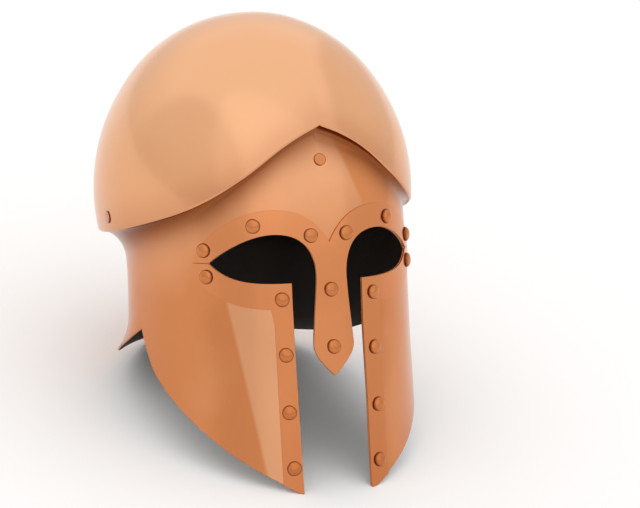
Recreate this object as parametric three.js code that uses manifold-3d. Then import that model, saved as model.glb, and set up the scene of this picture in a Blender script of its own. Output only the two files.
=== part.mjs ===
// Corinthian helmet in polished copper sheet: a domed skull over a one-piece face and neck wall,
// with riveted plates round the eyes, down the nose and along the cheek fronts.
// Lengths are millimetres. The pieces are drawn upright, with x to the wearer's left, the face
// towards -y and z up from the cheek tips, and the group at the end leans them back to where the
// helmet rests by itself: on both cheek tips and on the back of the neck rim.
import * as THREE from 'three';
import { mergeVertices } from 'three/addons/utils/BufferGeometryUtils.js';
import Module from 'manifold-3d';

const wasm = await Module();
wasm.setup();

// The skull is two half ellipsoids, front and rear, that share their widest section.
const SKULL = {
  halfWidth: 106,
  front: 118.3,
  rear: 130.4,
  rise: 122.6,
  widestHeight: 183,
  thickness: 1.3,
  frontStep: 6,
  rearStep: 9,
};
// How far up from the edge to the crown each row of the skull is. They are closest at the lap.
const SKULL_ROWS = [0, 0.045, 0.09, 0.16, 0.25, 0.37, 0.51, 0.66, 0.83, 1];

// The wall below it has oval sections, centred this far in front of the skull's widest section.
const WALL = {
  stationForward: 18,
  frontPower: 2.15,
  thickness: 1.2,
  frontColumns: 14,
  rearColumns: 10,
};
// Half sizes of the wall's section at each height, and how far its back corners are drawn in.
const WALL_SECTIONS = [
  { height: 0, front: 118.7, side: 99.7, rear: 108, pinch: 0.07 },
  { height: 60, front: 111.0, side: 96.3, rear: 112, pinch: 0.07 },
  { height: 120, front: 103.6, side: 94.1, rear: 118, pinch: 0.057 },
  { height: 145, front: 101.5, side: 93.1, rear: 120, pinch: 0.03 },
  { height: 165, front: 99.5, side: 92.2, rear: 122, pinch: 0.02 },
  { height: 190, front: 95.0, side: 91.2, rear: 124, pinch: 0.02 },
  { height: 215, front: 87.1, side: 90.4, rear: 127, pinch: 0.02 },
  { height: 240, front: 73.4, side: 90.2, rear: 130, pinch: 0.02 },
];

// The skull's lower edge by azimuth: 0 is the middle of the face and 180 the nape.
const RIDGE_EDGE = [
  { azimuth: 0, height: 240.7 },
  { azimuth: 10, height: 234.3 },
  { azimuth: 20, height: 225 },
  { azimuth: 35, height: 206 },
  { azimuth: 50, height: 190 },
  { azimuth: 65, height: 179 },
  { azimuth: 90, height: 166 },
  { azimuth: 113, height: 157 },
  { azimuth: 145, height: 151 },
  { azimuth: 180, height: 149 },
];
// The wall turns out under that edge in a cove and runs up inside the skull as a lap.
const COVE = { least: 5, perOverhang: 0.9, lipDrop: 0.4 };
const LAP = { height: 18, gap: 0.6 };

// The wall's lower edge: along the cheek guard up to a notch, then round the neck guard's rim.
const NOTCH_AZIMUTH = 86.3;
const CHEEK_EDGE = [
  { azimuth: 0, height: -12 },
  { azimuth: 10, height: -2.8 },
  { azimuth: 21, height: 8.8 },
  { azimuth: 36, height: 24.8 },
  { azimuth: 54, height: 46 },
  { azimuth: 68, height: 62.4 },
  { azimuth: 76, height: 73.5 },
  { azimuth: 81, height: 84.5 },
  { azimuth: 86.3, height: 98 },
];
const NECK_EDGE = [
  { azimuth: 86.3, height: 98, flare: 0 },
  { azimuth: 100, height: 86, flare: 3 },
  { azimuth: 112, height: 78, flare: 6 },
  { azimuth: 124, height: 71.5, flare: 9 },
  { azimuth: 145, height: 68, flare: 11 },
  { azimuth: 180, height: 66.5, flare: 13 },
];
const FLARE_HEIGHT = 21;

// The face opening as a front view: x from the middle, then height. Its two halves share the eye
// and the nose's tip, but as in hand work the nose and the slot are cut a little differently.
const EYE = { outer: [72.3, 150.7], top: [36, 171] };
const NOSE_TIP = [0, 76.6];
const FACE_HALF = {
  left: { side: 1, noseRoot: [11.6, 143], noseWidest: [15.2, 97], innerCorner: [24, 138.8], slot: 24 },
  right: { side: -1, noseRoot: [10, 143], noseWidest: [13.8, 97], innerCorner: [27, 138.8], slot: 25.6 },
};

// The riveted plates lie on the wall. Their outer outlines are front views too.
const PLATE = { gap: 0.3, thickness: 1.0, seam: [78.9, 150.1], seamGap: 0.6, columns: 10 };
const BROW = { top: [36, 186.5], vee: [0, 164.4] };
const CHEEK_PLATE = { corner: [40, 121.8], edge: 38.2, belowWall: 0.6 };

// Rivets: the domed ones hold a plate to the wall, and the flat ones the skull and the forehead.
const RIVET = {
  headRadius: 4.9,
  headHeight: 3,
  shankRadius: 1.7,
  holeRadius: 2.3,
  tailRadius: 3,
  tailHeight: 0.8,
  clearance: 0.5,
  sides: 8,
};
const FLAT_HEAD = { radius: 4.2, height: 0.7, extraGrip: 0.4 };
const BROW_RIVETS = [[48.5, 176.3], [12.8, 169.6], [74, 159]];
const CHEEK_RIVETS = [[73.4, 141.8], [33.2, 128.3], [32.4, 91.7], [32.4, 53.8], [31.3, 17.1]];
const NOSE_RIVETS = [133.5, 95.6];
const FOREHEAD_RIVET = 217.7;
const SIDE_RIVET = { azimuth: 104, aboveEdge: 10.5 };

// Trimming to the ground leaves a small flat foot at each cheek tip and at the back of the rim.
const GROUND_TRIM = 1.2;
const PLATE_ABOVE_GROUND = 0.5;

const MATERIAL = {
  sheet: { color: 0xd59a6c, metalness: 1, roughness: 0.28 },
  plate: { color: 0xd09064, metalness: 1, roughness: 0.3 },
  rivet: { color: 0xc47a4a, metalness: 1, roughness: 0.35 },
};

const radians = THREE.MathUtils.degToRad;
const degrees = THREE.MathUtils.radToDeg;

// A smooth curve through one column of a table, with slopes taken from each row's neighbours.
function fromTable(table, key, column, at) {
  const last = table.length - 1;
  const x = THREE.MathUtils.clamp(at, table[0][key], table[last][key]);
  let row = 0;
  while (row < last - 1 && x > table[row + 1][key]) {
    row += 1;
  }
  const slope = (n) => {
    const before = table[Math.max(n - 1, 0)];
    const after = table[Math.min(n + 1, last)];
    return (after[column] - before[column]) / (after[key] - before[key]);
  };
  const low = table[row];
  const high = table[row + 1];
  const span = high[key] - low[key];
  const t = (x - low[key]) / span;
  const rise = t * t * (3 - 2 * t);
  return low[column] * (1 - rise) + high[column] * rise
    + slope(row) * span * t * (1 - t) ** 2 - slope(row + 1) * span * t * t * (1 - t);
}

const ridgeHeight = (azimuth) => fromTable(RIDGE_EDGE, 'azimuth', 'height', Math.abs(azimuth));

function lowerEdgeHeight(azimuth) {
  const table = Math.abs(azimuth) < NOTCH_AZIMUTH ? CHEEK_EDGE : NECK_EDGE;
  return fromTable(table, 'azimuth', 'height', Math.abs(azimuth));
}

function flareAtRim(azimuth) {
  const around = Math.abs(azimuth);
  return around < NOTCH_AZIMUTH ? 0 : fromTable(NECK_EDGE, 'azimuth', 'flare', around);
}

// Distance from the wall's own axis to its outer face, without the flare at the neck.
function wallRadius(azimuth, height) {
  const section = (column) => fromTable(WALL_SECTIONS, 'height', column, height);
  const across = Math.abs(Math.sin(radians(azimuth)));
  const along = Math.cos(radians(azimuth));
  if (along >= 0) {
    const power = WALL.frontPower;
    return ((across / section('side')) ** power + (along / section('front')) ** power) ** (-1 / power);
  }
  const ellipse = 1 / Math.hypot(across / section('side'), along / section('rear'));
  return ellipse * (1 - section('pinch') * (2 * across * along) ** 2);
}

function atRadius(azimuth, radius, height) {
  const angle = radians(azimuth);
  return new THREE.Vector3(
    radius * Math.sin(angle),
    -WALL.stationForward - radius * Math.cos(angle),
    height,
  );
}

function wallPoint(azimuth, height) {
  const up = (height - lowerEdgeHeight(azimuth)) / FLARE_HEIGHT;
  const flare = flareAtRim(azimuth) * Math.max(0, 1 - up) ** 2;
  return atRadius(azimuth, wallRadius(azimuth, height) + flare, height);
}

// The same distance to the skull, shrunk all over by inset: where a ray meets its section.
function skullRadius(azimuth, height, inset) {
  const across = Math.sin(radians(azimuth));
  const back = -Math.cos(radians(azimuth));
  const level = (height - SKULL.widestHeight) / (SKULL.rise - inset);
  const size = 1 - level * level;
  const reach = (length) => {
    const a = (across / (SKULL.halfWidth - inset)) ** 2 + (back / (length - inset)) ** 2;
    const b = (-WALL.stationForward * back) / (length - inset) ** 2;
    const c = (WALL.stationForward / (length - inset)) ** 2 - size;
    return (-b + Math.sqrt(b * b - a * c)) / a;
  };
  const radius = reach(SKULL.front);
  const isBehind = radius * back > WALL.stationForward;
  return isBehind ? reach(SKULL.rear) : radius;
}

// A closed sheet between two grids of points, rows from the bottom up and columns round to the
// wearer's left. A closed grid joins its last column to its first.
function sheetGeometry(outer, inner, closed) {
  const columns = outer[0].length;
  const points = [...outer.flat(), ...inner.flat()];
  const innerStart = outer.length * columns;
  const index = [];
  const quad = (a, b, c, d) => index.push(a, b, c, a, c, d);
  const lastRow = (outer.length - 1) * columns;
  for (let j = 0; j < (closed ? columns : columns - 1); j += 1) {
    const next = (j + 1) % columns;
    for (let row = 0; row < lastRow; row += columns) {
      quad(row + j, row + next, row + columns + next, row + columns + j);
      const under = innerStart + row;
      quad(under + j, under + columns + j, under + columns + next, under + next);
    }
    quad(j, innerStart + j, innerStart + next, next);
    quad(lastRow + j, lastRow + next, innerStart + lastRow + next, innerStart + lastRow + j);
  }
  for (let row = 0; row < lastRow && !closed; row += columns) {
    const end = row + columns - 1;
    quad(row, row + columns, innerStart + row + columns, innerStart + row);
    quad(end, innerStart + end, innerStart + end + columns, end + columns);
  }
  const geometry = new THREE.BufferGeometry().setFromPoints(points);
  geometry.setIndex(index);
  return geometry;
}

// The grid moved out along its own normals, or in where the distance is negative.
function offsetGrid(grid, distance, closed) {
  const columns = grid[0].length;
  return grid.map((row, i) => row.map((point, j) => {
    const right = closed ? (j + 1) % columns : Math.min(j + 1, columns - 1);
    const left = closed ? (j - 1 + columns) % columns : Math.max(j - 1, 0);
    const round = row[right].clone().sub(row[left]);
    const up = grid[Math.min(i + 1, grid.length - 1)][j].clone().sub(grid[Math.max(i - 1, 0)][j]);
    const normal = round.cross(up).normalize();
    return point.clone().addScaledVector(normal, distance);
  }));
}

// A closed mesh as a solid for cutting, with triangles that a pole has flattened left out.
function toSolid(geometry) {
  geometry.deleteAttribute('normal');
  geometry.deleteAttribute('uv');
  const merged = mergeVertices(geometry, 1e-4);
  const kept = [];
  for (let k = 0; k < merged.index.count; k += 3) {
    const [a, b, c] = [0, 1, 2].map((n) => merged.index.getX(k + n));
    if (a !== b && b !== c && c !== a) {
      kept.push(a, b, c);
    }
  }
  return new wasm.Manifold(new wasm.Mesh({
    numProp: 3,
    vertProperties: new Float32Array(merged.attributes.position.array),
    triVerts: new Uint32Array(kept),
  }));
}

function toGeometry(solid) {
  const mesh = solid.getMesh();
  const geometry = new THREE.BufferGeometry();
  geometry.setAttribute('position', new THREE.BufferAttribute(mesh.vertProperties, 3));
  geometry.setIndex(new THREE.BufferAttribute(mesh.triVerts, 1));
  return geometry;
}

// A front-view outline as a solid that runs from the wall's axis out through the face.
const FACE_DEPTH = 220;
function frontPrism(shape) {
  const geometry = new THREE.ExtrudeGeometry(shape, {
    depth: FACE_DEPTH,
    bevelEnabled: false,
    curveSegments: 9,
  });
  return toSolid(geometry.rotateX(radians(90)).translate(0, -WALL.stationForward, 0));
}

// --- Skull ---

function skullPoint(turn, drop, inset) {
  const length = Math.cos(turn) > 0 ? SKULL.front : SKULL.rear;
  return new THREE.Vector3(
    (SKULL.halfWidth - inset) * Math.sin(drop) * Math.sin(turn),
    -(length - inset) * Math.sin(drop) * Math.cos(turn),
    SKULL.widestHeight + (SKULL.rise - inset) * Math.cos(drop),
  );
}

// The angle down from the crown at which a column of the skull meets the ridge's height.
function skullEdgeDrop(turn) {
  let drop = Math.PI / 2;
  for (let pass = 0; pass < 12; pass += 1) {
    const point = skullPoint(turn, drop, 0);
    const azimuth = degrees(Math.atan2(point.x, -point.y - WALL.stationForward));
    drop = Math.acos((ridgeHeight(azimuth) - SKULL.widestHeight) / SKULL.rise);
  }
  return drop;
}

// Every column's turn round the skull, closer together over the face than at the back.
function skullTurns() {
  const turns = [];
  for (let turn = -90; turn < 90; turn += SKULL.frontStep) {
    turns.push(radians(turn));
  }
  for (let turn = 90; turn < 270; turn += SKULL.rearStep) {
    turns.push(radians(turn));
  }
  return turns;
}

function skullSolid() {
  const columns = skullTurns().map((turn) => ({ turn, edge: skullEdgeDrop(turn) }));
  const grid = (inset) => SKULL_ROWS.map(
    (up) => columns.map(({ turn, edge }) => skullPoint(turn, edge * (1 - up), inset)),
  );
  return toSolid(sheetGeometry(grid(0), grid(SKULL.thickness), true));
}

// --- Face and neck wall ---

// Azimuths of the wall's columns. One falls exactly on each notch.
function wallAzimuths() {
  const half = [];
  for (let j = 0; j < WALL.frontColumns; j += 1) {
    half.push((NOTCH_AZIMUTH * j) / WALL.frontColumns);
  }
  for (let j = 0; j <= WALL.rearColumns; j += 1) {
    half.push(NOTCH_AZIMUTH + ((180 - NOTCH_AZIMUTH) * j) / WALL.rearColumns);
  }
  const mirrored = half.slice(1, -1).reverse().map((azimuth) => -azimuth);
  return [...mirrored, ...half];
}

// Fractions of the way up the wall, the cove and the lap for each row of points.
const WALL_ROWS = [0, 0.08, 0.17, 0.28, 0.45, 0.65, 0.82, 1];
const COVE_ROWS = [0.5, 0.85, 1];
const LAP_ROWS = [0.12, 1];

function wallColumn(azimuth, belowEdge) {
  const ridge = ridgeHeight(azimuth);
  const lapInset = SKULL.thickness + LAP.gap;
  const coveTop = ridge + COVE.lipDrop;
  const reach = skullRadius(azimuth, coveTop, lapInset);
  const overhang = reach - wallRadius(azimuth, ridge - COVE.least);
  const coveHeight = COVE.least + COVE.perOverhang * overhang;
  const bottom = lowerEdgeHeight(azimuth) - belowEdge;
  const coveFoot = coveTop - coveHeight;
  const wallPart = WALL_ROWS.map((t) => wallPoint(azimuth, bottom + (coveFoot - bottom) * t));
  const covePart = COVE_ROWS.map((t) => {
    const height = coveFoot + coveHeight * t;
    const radius = wallRadius(azimuth, height);
    const out = (reach - radius) * (1 - Math.sqrt(1 - t * t));
    return atRadius(azimuth, radius + out, height);
  });
  const lapPart = LAP_ROWS.map((t) => {
    const height = coveTop + LAP.height * t;
    return atRadius(azimuth, skullRadius(azimuth, height, lapInset), height);
  });
  return { wallPart, covePart, lapPart };
}

const transpose = (columns) => columns[0].map((unused, i) => columns.map((column) => column[i]));

function wallSolid() {
  const columns = wallAzimuths().map((azimuth) => {
    const { wallPart, covePart, lapPart } = wallColumn(azimuth, 0);
    return [...wallPart, ...covePart, ...lapPart];
  });
  const outer = transpose(columns);
  const inner = offsetGrid(outer, -WALL.thickness, true);
  return toSolid(sheetGeometry(outer, inner, true));
}

// An outline whose two halves are drawn by the same steps, up the left half and down the right.
function wholeShape(drawHalf) {
  const toPoints = (half) => drawHalf(half).map(([x, height]) => new THREE.Vector2(half.side * x, height));
  const all = [...toPoints(FACE_HALF.left), ...toPoints(FACE_HALF.right).reverse()];
  return new THREE.Shape(all.filter((point, n) => !point.equals(all[(n + 1) % all.length])));
}

// Points along a cubic curve, without its first one.
function bend(from, leave, arrive, to, steps) {
  const curve = new THREE.CubicBezierCurve(...[from, leave, arrive, to].map((p) => new THREE.Vector2(...p)));
  return curve.getPoints(steps).slice(1).map((point) => [point.x, point.y]);
}

const eyeUpperEdge = ({ noseRoot }) => [
  ...bend(EYE.outer, [65, 160.5], [51, 171], EYE.top, 5),
  ...bend(EYE.top, [22, 171], [noseRoot[0] + 0.2, 163], noseRoot, 5),
];
const eyeLowerEdge = ({ innerCorner }) => bend(innerCorner, [52, 138], [64, 138.4], EYE.outer, 5);
const noseEdge = ({ noseRoot, noseWidest }) => [
  ...bend(noseRoot, [noseRoot[0] + 0.4, 130], [noseWidest[0] - 0.9, 113], noseWidest, 3),
  ...bend(noseWidest, [noseWidest[0], 91], [8, 84], NOSE_TIP, 4),
];

const BELOW_FACE = -40;
function faceOpening() {
  return frontPrism(wholeShape((half) => [
    [half.slot, BELOW_FACE],
    half.innerCorner,
    ...eyeLowerEdge(half),
    ...eyeUpperEdge(half),
    ...noseEdge(half),
  ]));
}

// --- Plates on the face ---

// The front of the wall as a sheet at the plates' distance, which the outlines are cut from.
function plateBlank() {
  const columns = wallAzimuths()
    .filter((azimuth) => Math.abs(azimuth) < (NOTCH_AZIMUTH * (PLATE.columns + 0.5)) / WALL.frontColumns)
    .map((azimuth) => wallColumn(azimuth, CHEEK_PLATE.belowWall).wallPart);
  const grid = transpose(columns);
  const under = offsetGrid(grid, PLATE.gap, false);
  const outer = offsetGrid(grid, PLATE.gap + PLATE.thickness, false);
  return toSolid(sheetGeometry(outer, under, false));
}

const seamOuter = (side) => [PLATE.seam[0], PLATE.seam[1] + (side * PLATE.seamGap) / 2];

const eyeCornerPoint = (side) => [EYE.outer[0], EYE.outer[1] + (side * PLATE.seamGap) / 2];

function browPlateOutline() {
  return wholeShape((half) => [
    BROW.vee,
    ...bend(BROW.vee, [9, 180], [20, 186.5], BROW.top, 5),
    ...bend(BROW.top, [62, 186.5], [78.5, 163], seamOuter(1), 6),
    eyeCornerPoint(1),
    ...eyeUpperEdge(half),
    ...noseEdge(half),
  ]);
}

// One cheek plate: a band under the eye that turns down into a strip along the cheek's front.
function cheekPlateOutline(half) {
  const { corner, edge } = CHEEK_PLATE;
  const points = [
    [half.slot, BELOW_FACE],
    half.innerCorner,
    ...eyeLowerEdge(half).slice(0, -1),
    eyeCornerPoint(-1),
    seamOuter(-1),
    ...bend(seamOuter(-1), [79.2, 128], [60, 122], corner, 6),
    [edge, corner[1] - 11],
    [edge, BELOW_FACE],
  ];
  return new THREE.Shape(points.map(([x, height]) => new THREE.Vector2(half.side * x, height)));
}

// --- Rivets ---

const HOLE_LENGTH = 16;

// The azimuth at which the front of the wall stands at this distance from the middle.
function frontAzimuth(x, height) {
  const power = WALL.frontPower;
  const side = fromTable(WALL_SECTIONS, 'height', 'side', height);
  const front = fromTable(WALL_SECTIONS, 'height', 'front', height);
  const along = front * (1 - Math.abs(x / side) ** power) ** (1 / power);
  return degrees(Math.atan2(x, along));
}

// A place on a surface given by azimuth and height, brought onto its faceted sheet, and the way
// out from it.
function seatOn(sheet, surface, azimuth, height) {
  const step = 1;
  const round = surface(azimuth + step, height).sub(surface(azimuth - step, height));
  const up = surface(azimuth, height + step).sub(surface(azimuth, height - step));
  const out = round.cross(up).normalize();
  const outside = surface(azimuth, height).addScaledVector(out, HOLE_LENGTH);
  const [hit] = new THREE.Raycaster(outside, out.clone().negate()).intersectObject(sheet);
  return { point: hit.point, out };
}

const plateStack = PLATE.gap + PLATE.thickness;
const lapStack = SKULL.thickness + LAP.gap + WALL.thickness;

function rivetList(skullSheet, wallSheet) {
  const onFace = (x, height) => seatOn(wallSheet, wallPoint, frontAzimuth(x, height), height);
  const skullSurface = (azimuth, height) => atRadius(azimuth, skullRadius(azimuth, height, 0), height);
  const sideHeight = ridgeHeight(SIDE_RIVET.azimuth) + SIDE_RIVET.aboveEdge;
  const sides = [['right', -1], ['left', 1]];
  const plateRivet = (name, x, height) => ({
    name, domed: true, seat: onFace(x, height), proud: plateStack, grip: plateStack + WALL.thickness,
  });
  const onBothSides = (kind, places) => sides.flatMap(([word, side]) => places.map(
    ([x, height], n) => plateRivet(`${kind}_rivet_${word}_${n + 1}`, side * x, height),
  ));
  return [
    ...onBothSides('brow', BROW_RIVETS),
    ...onBothSides('cheek', CHEEK_RIVETS),
    ...NOSE_RIVETS.map((height, n) => plateRivet(`nose_rivet_${n + 1}`, 0, height)),
    {
      name: 'forehead_rivet',
      domed: false,
      seat: onFace(0, FOREHEAD_RIVET),
      proud: 0,
      grip: WALL.thickness + FLAT_HEAD.extraGrip,
    },
    ...sides.map(([word, side]) => ({
      name: `skull_rivet_${word}`,
      domed: false,
      seat: seatOn(skullSheet, skullSurface, side * SIDE_RIVET.azimuth, sideHeight),
      proud: 0,
      grip: lapStack,
    })),
  ];
}

// Turned about y, with y = 0 under the head: tail, shank, then a domed or a flat head.
function rivetGeometry({ domed, grip }) {
  const tailTop = -(grip + 2 * RIVET.clearance);
  const headRadius = domed ? RIVET.headRadius : FLAT_HEAD.radius;
  const head = domed
    ? [30, 60].map((angle) => [
      headRadius * Math.cos(radians(angle)),
      RIVET.headHeight * Math.sin(radians(angle)),
    ])
    : [[headRadius, FLAT_HEAD.height / 2], [headRadius - FLAT_HEAD.height, FLAT_HEAD.height]];
  const profile = [
    [0, tailTop - RIVET.tailHeight],
    [RIVET.tailRadius, tailTop - RIVET.tailHeight],
    [RIVET.tailRadius, tailTop],
    [RIVET.shankRadius, tailTop],
    [RIVET.shankRadius, 0],
    [headRadius, 0],
    ...head,
    [0, domed ? RIVET.headHeight : FLAT_HEAD.height],
  ];
  return new THREE.LatheGeometry(profile.map((point) => new THREE.Vector2(...point)), RIVET.sides);
}

const upright = new THREE.Vector3(0, 1, 0);
const turnTo = (direction) => new THREE.Quaternion().setFromUnitVectors(upright, direction);

function rivetHole({ seat }) {
  const { holeRadius, sides } = RIVET;
  const geometry = new THREE.CylinderGeometry(holeRadius, holeRadius, HOLE_LENGTH, sides);
  geometry.applyQuaternion(turnTo(seat.out)).translate(...seat.point.toArray());
  return toSolid(geometry);
}

function drill(solid, rivets) {
  return rivets.reduce((drilled, rivet) => drilled.subtract(rivetHole(rivet)), solid);
}

// --- Resting place ---

// The helmet leans back until a cheek tip and the back of the neck rim are level.
const tipAzimuth = frontAzimuth(FACE_HALF.left.slot, 0);
const cheekTip = wallPoint(tipAzimuth, lowerEdgeHeight(tipAzimuth));
const rimBack = wallPoint(180, lowerEdgeHeight(180));
const lean = Math.atan2(rimBack.z - cheekTip.z, rimBack.y - cheekTip.y);
const groundHeight = cheekTip.z * Math.cos(lean) - cheekTip.y * Math.sin(lean) + GROUND_TRIM;

const GROUND_SIZE = 600;
function belowGround(raise) {
  const geometry = new THREE.BoxGeometry(GROUND_SIZE, GROUND_SIZE, GROUND_SIZE);
  geometry.translate(0, 0, groundHeight + raise - GROUND_SIZE / 2).rotateX(lean);
  return toSolid(geometry);
}

// --- Assembly ---

const helmet = new THREE.Group();

function addPiece(name, geometry, look) {
  const mesh = new THREE.Mesh(geometry, new THREE.MeshStandardMaterial(look));
  mesh.name = name;
  helmet.add(mesh);
  return mesh;
}

const wholeSkull = skullSolid();
const wholeWall = wallSolid();
const rivets = rivetList(new THREE.Mesh(toGeometry(wholeSkull)), new THREE.Mesh(toGeometry(wholeWall)));
const skullRivets = rivets.filter(({ name }) => name.startsWith('skull'));
const skull = drill(wholeSkull, skullRivets);
const wall = drill(wholeWall.subtract(faceOpening()).subtract(belowGround(0)), rivets);
addPiece('skull', toGeometry(skull), MATERIAL.sheet);
addPiece('face_and_neck', toGeometry(wall), MATERIAL.sheet);

const blank = plateBlank().subtract(belowGround(PLATE_ABOVE_GROUND));
const plates = [
  ['brow_and_nose_plate', browPlateOutline(), ['brow', 'nose']],
  ['cheek_plate_right', cheekPlateOutline(FACE_HALF.right), ['cheek_rivet_right']],
  ['cheek_plate_left', cheekPlateOutline(FACE_HALF.left), ['cheek_rivet_left']],
];
plates.forEach(([name, outline, rivetNames]) => {
  const own = rivets.filter((rivet) => rivetNames.some((start) => rivet.name.startsWith(start)));
  addPiece(name, toGeometry(drill(blank.intersect(frontPrism(outline)), own)), MATERIAL.plate);
});

rivets.forEach((rivet) => {
  const { point, out } = rivet.seat;
  const piece = addPiece(rivet.name, rivetGeometry(rivet), MATERIAL.rivet);
  piece.position.copy(point).addScaledVector(out, rivet.proud + RIVET.clearance);
  piece.quaternion.copy(turnTo(out));
});

// The origin is under the middle of the resting helmet, on the ground.
helmet.rotation.x = -lean;
helmet.updateMatrixWorld(true);
const extent = new THREE.Box3().setFromObject(helmet, true);
helmet.position.set(0, -(extent.min.y + extent.max.y) / 2, -groundHeight);

export default helmet;
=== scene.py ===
# A Corinthian helmet of polished copper sheet: a domed skull over a face and neck wall, riveted
# plates round the eyes, down the nose and along the cheek fronts.
# Shapes are worked out upright and in millimetres, with x to the wearer's left, the face towards
# -y and z up from the cheek tips. onGround then leans them back into the frame, in metres.
import math

import bpy
import numpy as np
from mathutils import Matrix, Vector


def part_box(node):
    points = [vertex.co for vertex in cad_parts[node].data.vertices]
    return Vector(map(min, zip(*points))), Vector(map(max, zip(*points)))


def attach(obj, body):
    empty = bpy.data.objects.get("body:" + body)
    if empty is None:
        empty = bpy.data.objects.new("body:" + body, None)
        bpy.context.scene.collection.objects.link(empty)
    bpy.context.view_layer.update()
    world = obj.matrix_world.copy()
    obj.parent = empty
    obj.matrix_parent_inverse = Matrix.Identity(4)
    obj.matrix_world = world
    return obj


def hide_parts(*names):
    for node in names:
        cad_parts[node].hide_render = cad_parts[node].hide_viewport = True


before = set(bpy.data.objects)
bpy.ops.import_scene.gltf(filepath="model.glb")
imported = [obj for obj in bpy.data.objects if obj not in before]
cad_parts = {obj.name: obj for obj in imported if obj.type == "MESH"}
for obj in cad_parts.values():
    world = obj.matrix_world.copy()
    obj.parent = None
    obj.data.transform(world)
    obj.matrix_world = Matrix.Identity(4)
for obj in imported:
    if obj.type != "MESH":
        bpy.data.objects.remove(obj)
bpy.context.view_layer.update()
print("frame loaded:", len(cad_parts), "nodes")


# The helmet's form.

skull = {
    "halfWidth": 106,
    "front": 118.3,
    "rear": 130.4,
    "rise": 122.6,
    "widestHeight": 183,
    "thickness": 1.5,
    "lipRound": 1.7,  # the lower edge is turned under by this much
    "columns": 224,
    "rows": 84,
}

wall = {
    "stationForward": 18,  # its sections are centred this far in front of the skull's widest one
    "frontPower": 2.15,
    "thickness": 1.2,
    "flareHeight": 21,
    "coveLeast": 5,
    "covePerOverhang": 0.9,
    "lipDrop": 0.4,
    "lapHeight": 18,
    "lapGap": 0.15,
    "notchAzimuth": 86.3,
}

# Half sizes of the wall's oval section at each height, and how far its back corners are drawn in.
wallSections = {
    "at": [0, 60, 120, 145, 165, 190, 215, 240],
    "front": [118.7, 111, 103.6, 101.5, 99.5, 95, 87.1, 73.4],
    "side": [99.7, 96.3, 94.1, 93.1, 92.2, 91.2, 90.4, 90.2],
    "rear": [108, 112, 118, 120, 122, 124, 127, 130],
    "pinch": [0.07, 0.07, 0.057, 0.03, 0.02, 0.02, 0.02, 0.02],
}

# By azimuth: 0 is the middle of the face and 180 the nape.
ridgeEdge = {
    "at": [0, 10, 20, 35, 50, 65, 90, 113, 145, 180],
    "height": [240.7, 234.3, 225, 206, 190, 179, 166, 157, 151, 149],
}
cheekEdge = {
    "at": [0, 10, 21, 36, 54, 68, 76, 81, 86.3],
    "height": [-12, -2.8, 8.8, 24.8, 46, 62.4, 73.5, 84.5, 98],
}
neckEdge = {
    "at": [86.3, 100, 112, 124, 145, 180],
    "height": [98, 86, 78, 71.5, 68, 66.5],
    "flare": [0, 3, 6, 9, 11, 13],
}

# The face opening as a front view: x from the middle, then height. Its halves share the eye and
# the nose's tip, but as in hand work the nose and the slot are cut a little differently.
opening = {
    "eyeOuter": (72.3, 150.7),
    "eyeTop": (36, 171),
    "noseTip": (0, 76.6),
}
faceHalf = {
    "left": {"noseRoot": (11.6, 143), "noseWidest": (15.2, 97), "innerCorner": (24, 138.8), "slot": 24},
    "right": {"noseRoot": (10, 143), "noseWidest": (13.8, 97), "innerCorner": (27, 138.8), "slot": 25.6},
}
slotFoot = -40  # each slot edge is drawn down to here from its inner corner, past the cheek's end


def alongTable(table, column, at):
    # a cubic through the rows, whose slope at a row is that of the line between its neighbours
    key = np.array(table["at"], float)
    value = np.array(table[column], float)
    x = np.clip(at, key[0], key[-1])
    row = np.clip(np.searchsorted(key, x) - 1, 0, len(key) - 2)
    before = np.maximum(np.arange(len(key)) - 1, 0)
    after = np.minimum(np.arange(len(key)) + 1, len(key) - 1)
    slope = (value[after] - value[before]) / (key[after] - key[before])
    span = key[row + 1] - key[row]
    t = (x - key[row]) / span
    rise = t * t * (3 - 2 * t)
    bow = slope[row] * span * t * (1 - t) ** 2 - slope[row + 1] * span * t * t * (1 - t)
    return value[row] * (1 - rise) + value[row + 1] * rise + bow


def ridgeHeight(azimuth):
    return alongTable(ridgeEdge, "height", np.abs(azimuth))


def lowerEdgeHeight(azimuth):
    around = np.abs(azimuth)
    cheek = alongTable(cheekEdge, "height", around)
    return np.where(around < wall["notchAzimuth"], cheek, alongTable(neckEdge, "height", around))


def wallRadius(azimuth, height):
    # a superellipse in front, and behind an ellipse drawn in between its axes by pinch
    across = np.abs(np.sin(np.radians(azimuth)))
    along = np.cos(np.radians(azimuth))
    front, side, rear, pinch = (
        alongTable(wallSections, column, height) for column in ("front", "side", "rear", "pinch")
    )
    power = wall["frontPower"]
    ahead = np.maximum(along, 0)
    frontHalf = ((across / side) ** power + (ahead / front) ** power) ** (-1 / power)
    rearHalf = (1 - pinch * (2 * across * along) ** 2) / np.hypot(across / side, along / rear)
    return np.where(along >= 0, frontHalf, rearHalf)


def skullRadius(azimuth, height, inset):
    # where a level ray from the wall's axis meets the skull, shrunk all over by inset
    across = np.sin(np.radians(azimuth))
    back = -np.cos(np.radians(azimuth))
    level = (height - skull["widestHeight"]) / (skull["rise"] - inset)
    size = 1 - level * level

    def reach(length):
        a = (across / (skull["halfWidth"] - inset)) ** 2 + (back / (length - inset)) ** 2
        b = -wall["stationForward"] * back / (length - inset) ** 2
        c = (wall["stationForward"] / (length - inset)) ** 2 - size
        return (-b + np.sqrt(np.maximum(b * b - a * c, 0))) / a

    radius = reach(skull["front"])
    return np.where(radius * back > wall["stationForward"], reach(skull["rear"]), radius)


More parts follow.
